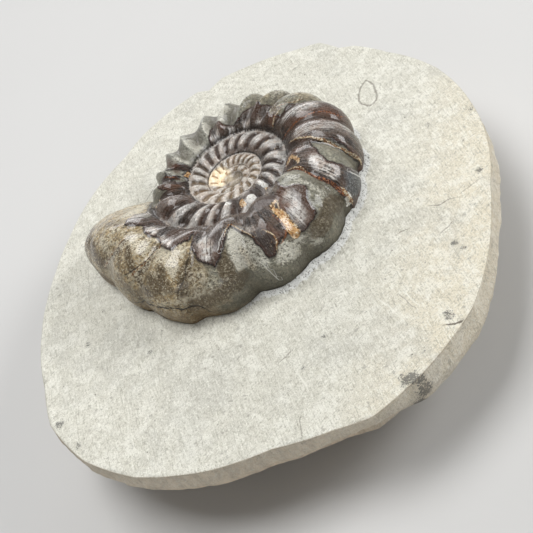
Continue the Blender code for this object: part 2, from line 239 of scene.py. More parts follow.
# marks in the slab's face: width in mm, strength, points in mm
SLAB_LINES = {
    "mark": (
        (0.42, 1, (15.8, -40.6), (17, -40.9), (17.9, -41.3), (18.9, -41.5), (20.2, -41.6)),
        (0.24, 0.6, (26.1, -19.1), (27.1, -19.9), (28.4, -20), (29.5, -20.6)),
        (0.22, 0.45, (31, -20.3), (32.2, -20.2), (33.9, -19.8), (35.1, -20.3)),
        (0.2, 0.5, (24.2, -25), (26.5, -24.5)), (0.24, 0.6, (20.7, -20.6), (19.2, -20.2)),
        (0.2, 0.5, (13.3, -30.8), (13.5, -32.7), (13.6, -34.8)),
        (0.24, 0.6, (-5.1, -28.4), (-6.3, -28.8), (-7.2, -29)),
        (0.24, 0.5, (-8.8, -39.9), (-9.4, -41.4), (-9.9, -42.7)),
        (0.2, 0.25, (-30.8, 8), (-29.5, 12.5), (-28.5, 17), (-25.5, 21), (-24, 22.5)),
        (0.22, 0.5, (-7.1, 28.9), (-12, 24.7), (-16.3, 22)),
        (0.44, 0.62, (33.3, 17.2), (34, 15.2), (33.3, 13.4), (32.5, 11.1), (31.2, 10.3), (30.2, 10.6),
         (29.5, 12.7), (30.3, 14.7), (32, 16.7), (33.3, 17.2))),
    "scratch": (
        (0.32, 0.6, (-5.8, -32.5), (-5.8, -34.3), (-5.7, -35.9)),
        (0.28, 0.5, (-2.3, -35.4), (-2, -36.8), (-1.7, -38.1)),
        (0.28, 0.5, (10.4, -29.7), (10.8, -31.5), (11.1, -33.5)),
        (0.24, 0.45, (14, -31), (14.2, -33), (14.3, -34.8)),
        (0.24, 0.5, (22.3, -10.4), (23.8, -9.1), (25.1, -9.6))),
}
# dark smudges on the slab: x, y, radius in mm, strength
SMUDGES = (
    (6.9, -44.6, 1.7, 0.8), (8, -46.6, 1.7, 1), (24.6, -28.4, 0.8, 0.8), (25, -30.1, 0.6, 0.7),
    (35.4, -18.4, 0.8, 0.7), (35.3, -3.2, 0.9, 0.45), (42.4, -4.8, 1.2, 0.6), (0.4, -29.6, 0.6, 0.6),
    (-4.6, -32.6, 0.6, 0.5), (-42.8, -14.2, 1, 0.7), (-41, -20.4, 0.8, 0.6), (-17.8, -43.4, 1.7, 0.8),
    (16.9, -39.2, 1, 0.5), (11.1, -42.4, 0.8, 0.5), (-33.6, -1.5, 0.9, 0.5), (-24.5, -11.6, 0.5, 0.6))
# the photo's view: degrees up and of roll, place from the coil's middle in VIEW_UNITs
VIEW_ELEVATION, VIEW_ROLL, VIEW_UNIT = 43.112, -33.471, 0.021
VIEW_SHIFT = (-0.172437, -0.751170, 8.0)
# soft lights: setting, direction, distance, width and height
LAMP_AIM = Vector((0.0, 0.0, 0.015))
LAMPS = (("key", (-0.15, 0.18, 1.0), 0.55, (0.34, 0.28)),
         ("back", (0.15, 1.0, 0.32), 0.90, (0.66, 0.34)),
         ("side", (1.0, -0.14, 0.58), 0.70, (0.32, 0.26)),
         ("front", (-0.35, -1.0, 0.42), 0.80, (0.50, 0.26)))


class Tint:
    """Colours of small things that have no setting of their own."""
    # browner stone low down towards the rock, with painted shade under the bulge of the coil
    low_tan_and_shade = (0.24, 0.15, 0.075)
    ochre_stain = (0.3, 0.19, 0.07)
    tan_shadow = (0.15, 0.105, 0.05)
    tan_light = (0.8, 0.73, 0.56)
    # painted light for the lit faces of the ribs
    lit_rib = (0.56, 0.56, 0.5)
    pale_green = (0.8, 0.78, 0.68)
    pale_tan = (0.76, 0.69, 0.53)
    # partly stains, partly painted shade
    green_stain_and_shade = (0.09, 0.064, 0.03)
    tan_stain_and_shade = (0.125, 0.08, 0.03)
    crust_dark = (0.15, 0.105, 0.055)
    crust_light = (0.74, 0.66, 0.5)
    shell_deep = (0.026, 0.014, 0.009)
    # painted highlight: warm tone of the pale crests and sheen streaks
    warm_pearl_and_highlight = (0.5, 0.405, 0.335)
    shell_glint = (0.34, 0.28, 0.24)
    # painted shade in the grooves between the ribs
    groove_shade = (0.036, 0.021, 0.013)
    hollow_ochre = (0.165, 0.1, 0.04)
    edge_shadow = (0.014, 0.007, 0.004)
    cast_shadow = (0.04, 0.028, 0.018)
    # painted shade along the deep seam where each whorl meets the one inside it
    seam = (0.016, 0.01, 0.006)
    ochre = (0.4, 0.3, 0.17)
    # painted shade in the grooves of the honey-coloured middle
    honey_groove_shade = (0.33, 0.17, 0.055)
    eye = (0.105, 0.08, 0.055)
    rust = (0.13, 0.046, 0.018)
    blue = (0.04, 0.052, 0.064)
    blue_light = (0.33, 0.35, 0.35)
    amber_deep = (0.3, 0.125, 0.035)
    amber_light = (0.9, 0.8, 0.61)
    chalk_shadow = (0.6, 0.57, 0.5)
    crack = (0.018, 0.012, 0.008)
    ember_dark = (0.06, 0.014, 0.005)
    ember_light = (0.33, 0.11, 0.026)
    gilt_dark = (0.26, 0.12, 0.04)
    gilt_light = (0.76, 0.65, 0.45)
    stone_grey = (0.52, 0.514, 0.462)
    speck = (0.26, 0.245, 0.205)
    dot = (0.15, 0.135, 0.11)
    sawn = (0.38, 0.3, 0.215)
    arris = (0.27, 0.215, 0.145)
    pocket = (0.13, 0.11, 0.085)
    powder = (0.83, 0.84, 0.825)
    contact = (0.17, 0.165, 0.15)
    smear = (0.085, 0.083, 0.076)
    mark = (0.17, 0.15, 0.12)


def smooth(low, high, x):
    """0 below low, 1 above high, and an even curve between."""
    x = np.clip((x - low) / (high - low), 0.0, 1.0)
    return x * x * (3 - 2 * x)


def along(table, degrees):
    """Values read off a short table of (degrees, value) pairs."""
    return np.interp(degrees, [p[0] for p in table], [p[1] for p in table])


def cloud(points, size, octaves=3, shift=0.0):
    """Smooth noise of about -1 to 1 at points in metres, in lumps of the given size in metres."""
    found = np.empty(len(points))
    for k, p in enumerate((np.asarray(points) / size + shift).tolist()):
        found[k] = noise.fractal(Vector(p), 1.0, 2.0, octaves)
    return found


def numbers(points):
    return np.array(points, float)


def rounded(line):
    """The line with its corners cut twice over."""
    for _ in range(2):
        a, b = line[:-1], line[1:]
        cut = np.stack([a * 0.75 + b * 0.25, a * 0.25 + b * 0.75], 1).reshape(-1, 2)
        line = np.vstack([line[:1], cut, line[-1:]])
    return line


def stroke_side(spots, path):
    """Distance from each spot to a line of straight pieces: positive on one side of it."""
    best = np.full(len(spots), FAR)
    for a, b in zip(path[:-1], path[1:]):
        way = b - a
        off = spots - a
        share = np.clip((off @ way) / max(float(way @ way), 1e-12), 0.0, 1.0)
        away = np.hypot(*(off - share[:, None] * way).T)
        away = np.where(way[0] * off[:, 1] > way[1] * off[:, 0], away, -away)
        best = np.where(np.abs(away) < np.abs(best), away, best)
    return best


def depth_inside(spots, ring):
    """Distance to a closed ring: positive inside it."""
    away = np.abs(stroke_side(spots, np.vstack([ring, ring[:1]])))
    inside = np.zeros(len(spots), bool)
    for a, b in zip(ring, np.roll(ring, -1, axis=0)):
        rise = b[1] - a[1]
        if abs(rise) < 1e-12:
            continue
        cross = (a[1] > spots[:, 1]) != (b[1] > spots[:, 1])
        inside ^= cross & (spots[:, 0] < a[0] + (spots[:, 1] - a[1]) * (b[0] - a[0]) / rise)
    return np.where(inside, away, -away)


def near_to(flat, line):
    """Which spots lie near enough to the line to be looked at."""
    return ((flat > line.min(0) - FELT) & (flat < line.max(0) + FELT)).all(1)


def patch_masks(flat, lay):
    """Strength of each soft patch of colour at every point."""
    masks = {}
    for kind, rows in PATCHES.items():
        masks[kind] = np.zeros(len(flat))
        for width, strength, *path in rows:
            line = lay(path)
            near = near_to(flat, line)
            away = np.abs(stroke_side(flat[near], line))
            found = strength * (1 - smooth(width * 0.2, width, away))
            masks[kind][near] = np.maximum(masks[kind][near], found)
    return masks


def line_values(flat, lines, lay):
    """Two numbers per kind of thin line: how strong it is nearby, and the distance to its middle
    in half-widths, positive on one side, so that the line stays thin and whole between points."""
    values = {}
    for kind, rows in lines.items():
        strong = np.zeros(len(flat))
        sides = np.full(len(flat), 6.0)
        for width, strength, *path in rows:
            line = rounded(lay(path))
            near = near_to(flat, line)
            away = stroke_side(flat[near], line)
            side = np.clip(away * 2 / width, -6.0, 6.0)
            sides[near] = np.where(np.abs(side) < np.abs(sides[near]), side, sides[near])
            strong[near] = np.maximum(strong[near], strength * (1 - smooth(0.4, 0.9, np.abs(away))))
        values[kind] = strong
        values[kind + "_side"] = sides
    return values


def line_body(values, kind, inner, outer):
    """1 along the middle of the kind's lines, 0 from outer half-widths on, times their strength."""
    return values[kind] * (1 - smooth(inner, outer, np.abs(values[kind + "_side"])))


class Coil:
    """The form of the coiled tube, from the sizes that the user sets."""

    def __init__(self, sizes):
        self.sizes = sizes

    def centre(self, t):
        """Radius of the tube's centreline, t radians back from the mouth."""
        s = self.sizes
        return s.coil_radius * np.exp(-s.growth * t + s.last_flare * np.maximum(TURN - t, 0.0))

    def outer_edge(self, t):
        return self.centre(t) * (1 + self.sizes.half_width) * along(EDGE_WEAR, np.degrees(t))

    def section(self, t):
        """Centre, half-width and half-height of the tube's section at t."""
        radius = self.centre(t)
        inner = radius * (1 - self.sizes.half_width)
        outer = self.outer_edge(t)
        d = np.degrees(t)
        v = np.clip((MOUTH_CLOSING - d) / (MOUTH_CLOSING + MOUTH_REACH), 0.0, 1.0)
        edge = self.outer_edge(t + TURN)
        near = d < MOUTH_CLOSING
        outer = np.where(near, edge + (outer - edge) * (1 - v ** 2.5) ** 0.4, outer)
        inner = np.where(near, inner + (edge - inner) * v ** 3, inner)
        v = np.clip((MOUTH_SINKING - d) / (MOUTH_SINKING + MOUTH_REACH), 0.0, 1.0)
        height = radius * self.sizes.half_height * (1 - v ** 1.3) ** (1 / 1.3)
        return (inner + outer) / 2, (outer - inner) / 2, height

    def rib(self, t, lean):
        """0 on a crest, 1 in a groove."""
        d = np.degrees(t) + lean
        number = np.interp(d, RIB_CRESTS, range(len(RIB_CRESTS)))
        crest = (np.cos(math.pi * number) ** 2 + 0.02) / 1.02
        keen = along(RIB_KEEN, d)
        return (1 - keen) * (1 - crest ** (0.5 * along(RIB_RIDGE, d))) + keen * np.sqrt(1 - crest)

    def surface(self, t, psi, fade, relief=0.0):
        """Radius and height on the tube; psi is 0 at the outer edge, pi at the inner one."""
        middle, half, height = self.section(t)
        depth = self.sizes.rib_depth * self.centre(t) * along(RIB_STRENGTH, np.degrees(t)) * fade
        cut = depth * self.rib(t, RIB_LEAN * np.cos(psi)) - relief
        return (middle + (half - cut) * np.cos(psi),
                np.maximum(height - cut, height * 0.5) * np.sin(psi))

    def seam_angle(self, t):
        """Where the tube's inner wall meets the whorl inside it."""
        low = np.full_like(t, math.pi / 2)
        high = np.full_like(t, math.pi)
        middle, half, height = self.section(t + TURN)
        for _ in range(40):
            psi = (low + high) / 2
            r, z = self.surface(t, psi, 0.0)
            x = np.clip((r - middle) / half, -1.0, 1.0)
            above = z > height * np.sqrt(1 - x * x)
            low, high = np.where(above, psi, low), np.where(above, high, psi)
        return low

    def angle_at(self, t, r):
        """Section angle of the point at radius r on the outer half of the tube."""
        middle, half, _ = self.section(t)
        return np.arccos(np.clip((r - middle) / half, -1.0, 1.0))

    def under_height(self, t):
        """Half-height of the buried side; it runs on smoothly under the mouth."""
        d = np.degrees(t)
        own = self.sizes.half_height * self.centre(t)
        start = self.sizes.half_height * self.centre(math.radians(20))
        high = np.where(d > 290, own + (BOWL_DEPTH - own) * (d - 290) / 56, own)
        return np.where(d < 20, BOWL_DEPTH + (start - BOWL_DEPTH) * (d + 14) / 34, high)

    def flat(self, degrees, share):
        """The tube's skin rolled out flat, in mm: along the coil and across it."""
        way = np.radians(np.linspace(-20, 1700, 1721))
        run = np.cumsum(self.centre(way)) * math.radians(1) * 1000
        t = np.radians(degrees)
        return np.stack([np.interp(t, way, run), share * 900 * self.centre(t)], -1)

    def lay(self, points):
        """Points of a table of places, rolled out flat."""
        degrees, hundredths = numbers(points).T
        return self.flat(degrees, hundredths / 100)

    def shell_depth(self, flat, degrees):
        """How far each point lies inside the scraps of shell, in mm; negative on the bare mould."""
        depth = np.full(len(flat), -5.0)
        near = degrees < LAST_WHORL_END
        spots = flat[near]
        found = depth[near]
        for ring in SHELL_SCRAPS:
            found = np.maximum(found, depth_inside(spots, self.lay(ring)))
        for ring in SHELL_GAPS:
            found = np.minimum(found, -depth_inside(spots, self.lay(ring)))
        depth[near] = found
        return np.maximum(depth, np.clip((degrees - 359) * 1.5, -5.0, 5.0))


class Bowl:
    """The fossil's buried side, a smooth bowl below its outermost line."""

    def __init__(self, coil, t, rim):
        self.rim = rim
        self.ratio = coil.sizes.half_width / (1 + coil.sizes.half_width)
        self.high = coil.under_height(t)
        self.level = np.arcsin(np.minimum(SUNK / self.high, 1.0))
        wide = len(t) // 20
        self.calm = np.mean([np.roll(rim, k) for k in range(-wide, wide + 1)], axis=0)

    def ring(self, angle, ease=0.0):
        """Radius and height all round, at an angle below the middle plane; ease calms the ribs."""
        radius = self.rim + (self.calm - self.rim) * ease
        reach = radius * self.ratio
        return radius - reach + reach * np.cos(angle), -self.high * np.sin(angle)

    def lower(self):
        """The two rings where the bowl curves in."""
        return self.ring(self.level + 0.30, 0.5), self.ring((self.level + math.pi) / 2.6, 1.0)

    def floor(self):
        """The two rings near the bottom."""
        return (self.calm * 0.52, -self.high * 0.86), (self.calm * 0.26, -0.0060 - 0.1 * self.high)


def place(t, r, z):
    """Points of the row frame from angle, radius and height about the coil's middle."""
    a = MOUTH_ANGLE + t
    return np.stack([r * np.cos(a), r * np.sin(a), z * np.ones_like(a)], -1) + COIL_MIDDLE


def turn_rows(count):
    """Angles back from the mouth for one turn of rows, close together at the worn lip."""
    lip = -MOUTH_REACH + MOUTH_REACH * (np.arange(LIP_ROWS) / LIP_ROWS) ** 1.6
    rest = np.arange(count - LIP_ROWS) * (360 - MOUTH_REACH) / (count - LIP_ROWS)
    return np.radians(np.concatenate([lip, rest]))


def clear_selection():
    if bpy.context.object and bpy.context.object.mode != "OBJECT":
        bpy.ops.object.mode_set(mode="OBJECT")
    bpy.ops.object.select_all(action="DESELECT")


def sheet(name, columns, rows, points):
    """A grid primitive whose points are moved to where the form needs them."""
    clear_selection()
    bpy.ops.mesh.primitive_grid_add(x_subdivisions=columns, y_subdivisions=rows, size=0.02,
                                    location=COIL_MIDDLE)
    piece = bpy.context.object
    piece.name = name
    bpy.ops.object.transform_apply(location=True, rotation=True, scale=True)
    low, high = (np.array(corner) for corner in CAD_BOX)
    points = np.clip(points.reshape(-1, 3), low + (SLACK, SLACK, 0.0), high - SLACK)
    piece.data.vertices.foreach_set("co", points.reshape(-1))
    piece.data.update()
    return piece


def put_values(piece, values):
    """Stores named numbers, one per point, for the material to read."""
    for name, found in values.items():
        layer = piece.data.attributes.new(name, "FLOAT", "POINT")
        layer.data.foreach_set("value", np.asarray(found, np.float32).reshape(-1))


def join(pieces, name):
    clear_selection()
    for piece in pieces:
        piece.select_set(True)
    bpy.context.view_layer.objects.active = pieces[0]
    bpy.ops.object.join()
    whole = bpy.context.object
    whole.name = name
    whole.data.name = name
    return whole


def weld():
    """Merges points of the chosen piece that lie together, closes its seams, turns every face
    outwards and smooths the shading."""
    bpy.ops.object.mode_set(mode="EDIT")
    bpy.ops.mesh.select_mode(type="VERT")
    bpy.ops.mesh.select_all(action="SELECT")
    bpy.ops.mesh.remove_doubles(threshold=WELD)
    bpy.ops.mesh.dissolve_degenerate(threshold=WELD * 0.5)
    bpy.ops.mesh.select_all(action="DESELECT")
    bpy.ops.mesh.select_non_manifold(extend=False, use_wire=False, use_boundary=True,
                                     use_multi_face=False, use_non_contiguous=False,
                                     use_verts=False)
    bpy.ops.mesh.edge_face_add()
    bpy.ops.mesh.poke()
    bpy.ops.mesh.select_all(action="SELECT")
    bpy.ops.mesh.normals_make_consistent(inside=False)
    bpy.ops.object.mode_set(mode="OBJECT")
    bpy.ops.object.shade_smooth()


class Value:
    """A number output of a node; arithmetic on it adds the Math nodes."""

    def __init__(self, graph, socket):
        self.graph = graph
        self.socket = socket

    def math(self, operation, *values):
        made = self.graph.node("ShaderNodeMath", {"operation": operation}, dict(enumerate(values)))
        return Value(self.graph, made.outputs[0])

    def __add__(self, other):
        return self.math("ADD", self, other)

    def __mul__(self, other):
        return self.math("MULTIPLY", self, other)

    def __sub__(self, other):
        return self.math("SUBTRACT", self, other)

    def __rsub__(self, other):
        return self.math("SUBTRACT", other, self)

    __radd__ = __add__
    __rmul__ = __mul__

    def larger(self, other):
        return self.math("MAXIMUM", self, other)

    def size(self):
        return self.math("ABSOLUTE", self)

    def held(self):
        """Kept between 0 and 1."""
        return self.math("MINIMUM", self.larger(0.0), 1.0)

    def step(self, low, high):
        """0 at low, 1 at high, smoothly between; low may be the larger."""
        made = self.graph.node("ShaderNodeMapRange",
                               {"interpolation_type": "SMOOTHSTEP", "clamp": True},
                               {"Value": self, "From Min": low, "From Max": high})
        return Value(self.graph, made.outputs["Result"])


class Graph:
    """The nodes of one material. Colours are three numbers or the link of a node."""

    def __init__(self, name):
        self.material = bpy.data.materials.new(name)
        self.material.use_nodes = True
        self.tree = self.material.node_tree
        self.tree.nodes.clear()

    def node(self, kind, settings=None, sockets=None):
        """Adds a node: its settings first, then the values or links of its sockets."""
        made = self.tree.nodes.new(kind)
        for name, value in (settings or {}).items():
            setattr(made, name, value)
        for key, value in (sockets or {}).items():
            socket = made.inputs[key]
            if isinstance(value, Value):
                self.tree.links.new(value.socket, socket)
            elif isinstance(value, bpy.types.NodeSocket):
                self.tree.links.new(value, socket)
            else:
                socket.default_value = (*value, 1.0) if socket.type == "RGBA" else value
        return made

    def place(self):
        """Object coordinates, in mm."""
        at = self.node("ShaderNodeTexCoord").outputs["Object"]
        made = self.node("ShaderNodeVectorMath", {"operation": "SCALE"}, {0: at, "Scale": 1000.0})
        return made.outputs[0]

    def read(self, name):
        """A number that was stored on the mesh."""
        return Value(self, self.node("ShaderNodeAttribute", {"attribute_name": name}).outputs["Fac"])

    def speckle(self, at, scale, detail=3.0, roughness=0.55, warp=0.0):
        made = self.node("ShaderNodeTexNoise", {"noise_dimensions": "3D"},
                         {"Vector": at, "Scale": scale, "Detail": detail, "Roughness": roughness,
                          "Distortion": warp})
        return Value(self, made.outputs["Fac"])

    def cells(self, at, scale):
        """Distance to the middle of the nearest cell."""
        made = self.node("ShaderNodeTexVoronoi", {"feature": "F1"},
                         {"Vector": at, "Scale": scale, "Randomness": 1.0})
        return Value(self, made.outputs["Distance"])

    def streaks(self, at, turn, size):
        """Noise in turned units of the given size, for streaks that run one way."""
        made = self.node("ShaderNodeMapping", {"vector_type": "TEXTURE"},
                         {"Vector": at, "Rotation": (0.0, 0.0, turn), "Scale": size})
        return self.speckle(made.outputs[0], 1.0, 3.0, 0.7)

    def vector(self, x, y, z):
        return self.node("ShaderNodeCombineXYZ", {}, {"X": x, "Y": y, "Z": z}).outputs[0]

    def mix(self, share, first, second):
        """Colour between first and second."""
        made = self.node("ShaderNodeMix", {"data_type": "RGBA", "clamp_factor": True},
                         {"Factor": share, 6: first, 7: second})
        return made.outputs[2]

    def paint(self, colour, *coats):
        """The colour under coats of (share, colour), each laid over the ones before."""
        for share, coat in coats:
            colour = self.mix(share, colour, coat)
        return colour

    def bump(self, height, distance, strength=1.0, below=None):
        sockets = {"Strength": strength, "Distance": distance, "Height": height}
        if below is not None:
            sockets["Normal"] = below
        return self.node("ShaderNodeBump", {}, sockets).outputs["Normal"]

    def finish(self, sockets):
        shader = self.node("ShaderNodeBsdfPrincipled", {}, sockets)
        end = self.node("ShaderNodeOutputMaterial")
        self.tree.links.new(shader.outputs[0], end.inputs["Surface"])
        return self.material


def fossil_material(finish):
    """Grey-green to tan stone with scraps of dark glossy shell, rust rims, calcite and amber."""
    g = Graph("fossil_stone_and_shell")
    at = g.place()
    shell, turn, share, groove, tan, pearl, sheen, honey, eye, dark, pale, stain = (
        g.read(name) for name in ("shell", "turn", "share", "groove", "tan", "pearl", "sheen", "honey",
                                  "eye", "dark", "pale", "stain"))
    fine = g.speckle(at, 2.2, 2.0, 0.62)
    grain = g.speckle(at, 4.2, 1.0, 0.6)
    blotch = g.speckle(at, 0.62, 4.0, 0.62)
    broad = g.speckle(at, 0.2, 3.0, 0.5)
    spots = g.speckle(at, 1.3, 4.0, 0.74, 0.5)
    mottle = g.speckle(at, 0.95, 3.0, 0.6, 0.8)
    crisp = fine * 0.6 + grain * 0.4
    # these two run along the growth lines
    streaks = g.speckle(g.vector(turn * 0.42, share * 2.6, broad * 3.0), 1.0, 5.0, 0.7)
    lines = g.speckle(g.vector(turn * 0.85, share * 1.6, broad * 2.0), 1.0, 2.0, 0.7)

    def line(kind):
        """A thin line along the middle of a stroke, a little uneven."""
        side = g.read(kind + "_side").size() + (fine - 0.5) * 1.8
        return g.read(kind) * side.step(1.15, 0.6)

    # the stone mould: frosted grains, pores, streaks, stains, and painted shade in the rib hollows and
    # low down
    brown = (tan + (blotch - 0.5) * 0.8 + (broad - 0.5) * 0.7).step(0.2, 0.85)
    wash = 0.35 + tan * 0.65
    # fewer pale grains low down, in keeping with the painted shade there
    dull = 1.0 - share.step(0.85, 1.1) * 0.6
    # painted light: the inner part of the ribs on the last whorl, from about 236 to 352 degrees, is
    # lightened for their lit faces
    lit_band = turn.step(236.0, 262.0) * turn.step(352.0, 330.0) * share.step(0.75, 0.45)
    paler = (pale + (crisp - 0.5) * 2.2 + (streaks - 0.5) * 1.2).step(0.25, 0.9)
    stained_and_shaded = (stain + (blotch - 0.5) * 1.2 + (crisp - 0.5) * 1.0).step(0.25, 0.85)
    crust = g.read("crust") * (1.1 + (crisp - 0.5) * 2.4).held()
    # the ragged edge of the shell, with a thin shadow beside it
    ragged = shell + (fine - 0.5) * 0.40 + (grain - 0.5) * 0.14
    mould = g.paint(
        g.mix(brown, finish.mould_green, finish.mould_tan),
        (blotch.step(0.48, 0.64) * wash * 0.5, finish.mould_pale),
        (streaks.step(0.54, 0.66) * wash * 0.45, finish.mould_pale),
        (streaks.step(0.46, 0.35) * (0.35 + tan * 0.2), finish.mould_dark),
        (spots.step(0.53, 0.62) * (0.25 + tan * 0.5), finish.mould_dark),
        (spots.step(0.44, 0.36) * 0.5 * tan, Tint.ochre_stain),
        (mottle.step(0.49, 0.40) * tan * 0.65, Tint.tan_shadow),
        (mottle.step(0.54, 0.62) * tan * 0.55, Tint.tan_light),
        # painted light on the lit faces of the ribs of the last whorl
        (lit_band * (0.45 + (crisp - 0.5) * 2.0).held(), Tint.lit_rib),
        # pale patches: paler stone, partly painted light on ribs that face the light
        (paler * pale.step(0.0, 0.4) * 0.85, g.mix(tan, Tint.pale_green, Tint.pale_tan)),
        # partly stains, partly painted shade in the rib hollows and low down
        (stained_and_shaded * stain.step(0.0, 0.25) * 0.92, g.mix(tan, Tint.green_stain_and_shade, Tint.tan_stain_and_shade)),
        # low down towards the rock: browner stone with painted shade under the bulge of the coil
        (share.step(0.84, 1.12) * (0.55 + blotch * 0.3), g.mix(brown, finish.low_mould_and_shade, Tint.low_tan_and_shade)),
        (crisp.step(0.52, 0.62) * wash * 0.70 * dull, finish.mould_pale),
        (crisp.step(0.46, 0.36) * (0.60 + tan * 0.10), finish.mould_dark),
        # painted shade in the grooves between the ribs
        (groove * (0.15 + fine * 0.4 + (1.0 - tan) * 0.15), finish.mould_dark),
        (crust, g.mix(crisp.step(0.44, 0.54), Tint.crust_dark, Tint.crust_light)),
        (ragged.step(-0.26, -0.04) * 0.60, Tint.cast_shadow))
    # the shell, with growth lines along the ribs and a silvery sheen on its crests: painted highlight
    # over pearly shell, and the sheen patches are painted highlights too
    hue = (blotch * 0.55 + lines * 0.55).step(0.42, 0.68)
    outer = (share.step(0.12, 0.50) * 0.75 + 0.25).larger(turn.step(600.0, 650.0))
    # painted highlight: pale crests of the inner whorls and the sheen streaks
    silver_and_highlight = pearl * outer * (1.0 - dark) * (0.80 + (blotch - 0.5) * 1.8 + (crisp - 0.5) * 2.2)
    silver_and_highlight = silver_and_highlight + sheen * (0.55 + (lines - 0.5) * 2.6 + (crisp - 0.5) * 2.4)
    inwards = turn.step(640.0, 760.0)
    skin = g.paint(
        g.mix(hue, finish.shell_dark, finish.shell_grey),
        (broad.step(0.46, 0.60) * 0.6, finish.shell_brown),
        (dark * 0.8, Tint.shell_deep),
        (silver_and_highlight.held(), g.mix(blotch.step(0.46, 0.58) * 0.7, finish.pearl_and_highlight_colour, Tint.warm_pearl_and_highlight)),
        (crisp.step(0.57, 0.66) * 0.35, Tint.shell_glint),
        # the grooves between the ribs: painted shade on the outer whorls, ochre filling on the inner
        # ones
        (groove.step(0.54, 0.98) * 0.80, g.mix(inwards, Tint.groove_shade, Tint.hollow_ochre)),
        (ragged.step(0.46, 0.20) * 0.85, finish.rim_rust),
        (ragged.step(0.26, 0.12) * 0.90, Tint.edge_shadow))
    on = ragged.step(-0.03, 0.03)
    # the honey-coloured middle of the coil, then patches of rust, blue-grey, amber and chalk
    ochre = inwards * (0.35 + (spots - 0.5) * 1.2) * (1.0 - honey)
    # the honey is dimmed in the grooves between the ribs, as painted shade
    glow = (honey * (1.5 + (crisp - 0.5) * 2.2)).held() * (1.0 - groove.step(0.45, 0.90) * 0.75)
    rust = g.read("rust") * (blotch * 1.3 + (crisp - 0.5) * 1.8).held()
    blue = (g.read("blue") * (0.5 + blotch * 0.8)).held()
    amber = (g.read("amber") * 1.3 + (crisp - 0.5) * 1.8 + (spots - 0.5) * 1.2).step(0.50, 0.80)
    crystal = g.paint(
        g.mix(crisp.step(0.36, 0.52), Tint.amber_deep, finish.amber),
        (spots.step(0.46, 0.58) * crisp.step(0.42, 0.56) * 0.85, Tint.amber_light))
    chalk = (g.read("chalk") * 1.35 + (crisp - 0.5) * 2.0).step(0.50, 0.68)
    crack, gilt = line("crack"), line("gilt")
    colour = g.paint(
        g.mix(on, mould, skin),
        # painted shade along the deep seam where each whorl meets the one inside it
        (share.step(0.11, 0.02) * 0.90, Tint.seam),
        (ochre.held() * 0.6, Tint.ochre),
        (glow, finish.honey),
        # painted shade in the grooves of the honey-coloured middle
        (honey * groove.step(0.45, 0.9) * 0.6, Tint.honey_groove_shade),
        (honey * spots.step(0.50, 0.60) * 0.55, finish.amber),
        (eye * (0.95 + groove * 0.4 + (crisp - 0.5) * 1.2), Tint.eye),
        (rust * 0.8, Tint.rust),
        (blue * 0.9, Tint.blue),
        (blue * crisp.step(0.50, 0.60) * 0.6, Tint.blue_light),
        (amber * 0.95, crystal),
        (chalk * 0.95, g.mix(crisp.step(0.42, 0.52), Tint.chalk_shadow, finish.calcite)),
        (crack * 0.92, Tint.crack),
        (line("ember") * 0.95, g.mix(crisp.step(0.47, 0.55), Tint.ember_dark, Tint.ember_light)),
        (gilt * 0.95, g.mix(crisp.step(0.46, 0.54), Tint.gilt_dark, Tint.gilt_light)),
        (line("white") * 0.9, finish.calcite))
    # gloss: the shell is shiny, the mould waxy
    rough = 0.34 - on * 0.10 + (crisp - 0.5) * 0.7 + (lines - 0.5) * on * 0.5 + groove * 0.12
    rough = (rough + share.step(0.9, 1.2) * 0.15 + dark * 0.2).larger(0.14)
    coat = (on * 0.20 + 0.46 + tan * 0.16 - groove * 0.1) * (0.35 + blotch * 1.1)
    coat = coat * share.step(1.2, 0.85) * (1.0 - dark * 0.8)
    lumps = (fine * 0.7 + spots * 0.7 + grain * 0.35) * (1.0 + tan * 0.35)
    lumps = lumps * (1.0 - on * 0.50) * (1.0 - honey * 0.8) + crust * fine
    normal = g.bump(lumps, 0.00075)
    normal = g.bump(lines * (0.25 + on * 0.75) * turn.step(860.0, 480.0), 0.00055, 0.9, normal)
    normal = g.bump((chalk + amber + gilt) * 0.6 - crack * 1.3 + on * 1.1, 0.00020, 0.9, normal)
    return g.finish({"Base Color": colour, "Roughness": rough, "Coat Weight": coat.held(),
                     "Coat Roughness": 0.10, "Normal": normal, "IOR": 1.47})


